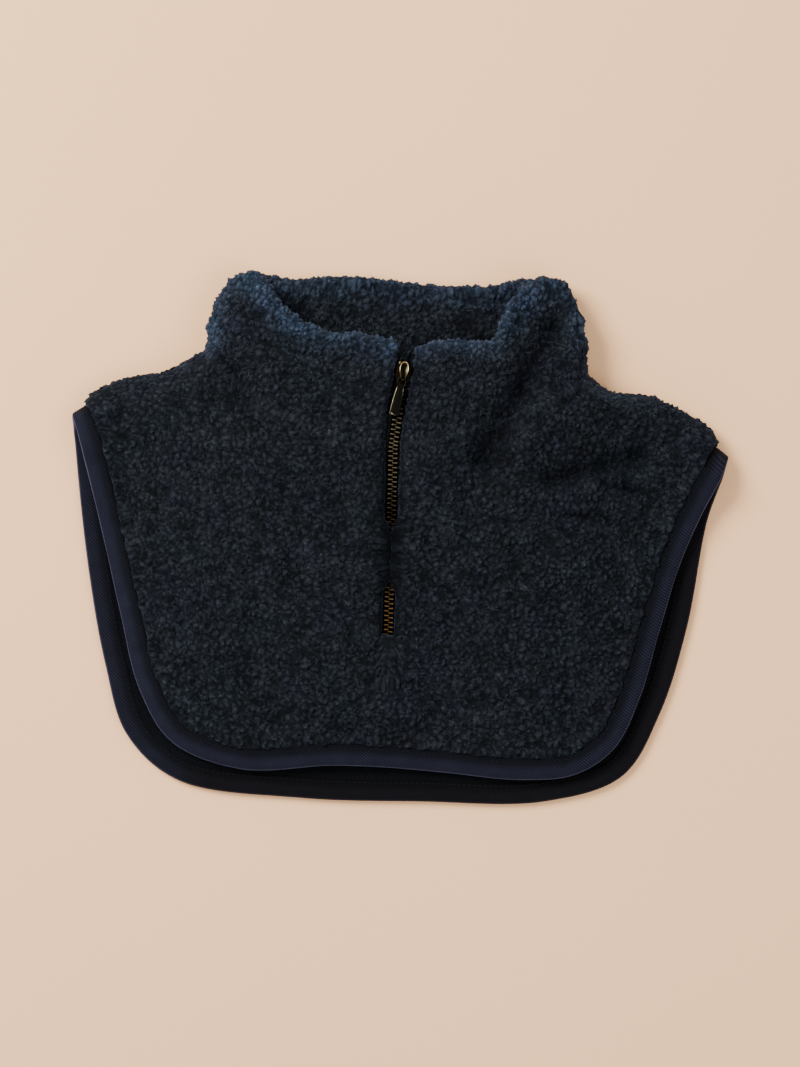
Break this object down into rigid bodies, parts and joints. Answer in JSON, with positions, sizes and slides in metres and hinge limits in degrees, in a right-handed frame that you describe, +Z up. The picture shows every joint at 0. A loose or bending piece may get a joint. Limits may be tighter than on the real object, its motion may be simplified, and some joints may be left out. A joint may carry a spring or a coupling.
{
  "type": "detachable half-zip pile collar",
  "caption": "Detachable stand collar of curly pile cloth on a short front and back yoke, with a bound edge and a metal front zip, lying flat.",
  "frame": {"origin": "under the middle of the whole, on the surface that it lies on", "axes": "+Z up out of the front, +Y towards the neck, +X to the right as seen from above"},
  "size_m": [0.3598, 0.294, 0.0381],
  "materials": {
    "pile": "curly pile, dark navy",
    "binding": "fine twill tape, navy",
    "zip_tape": "woven tape, near black",
    "zip_metal": "antique brass"
  },
  "bodies": {
    "garment": {"front_panel": "pile", "back_panel": "pile", "collar": "pile", "edge_binding": "binding", "zip_tape_left": "zip_tape", "zip_tape_right": "zip_tape", "zip_teeth_left": "zip_metal", "zip_teeth_right": "zip_metal", "zip_slider": "zip_metal"},
    "pull": {"zip_pull": "zip_metal"}
  },
  "joints": [
    {"name": "pull_swing", "type": "hinge", "parent": "garment", "child": "pull", "pos_m": [0.00204, 0.08855, 0.03371], "axis": [-0.9899, 0.1419, 0], "range_deg": [0, 170]}
  ]
}
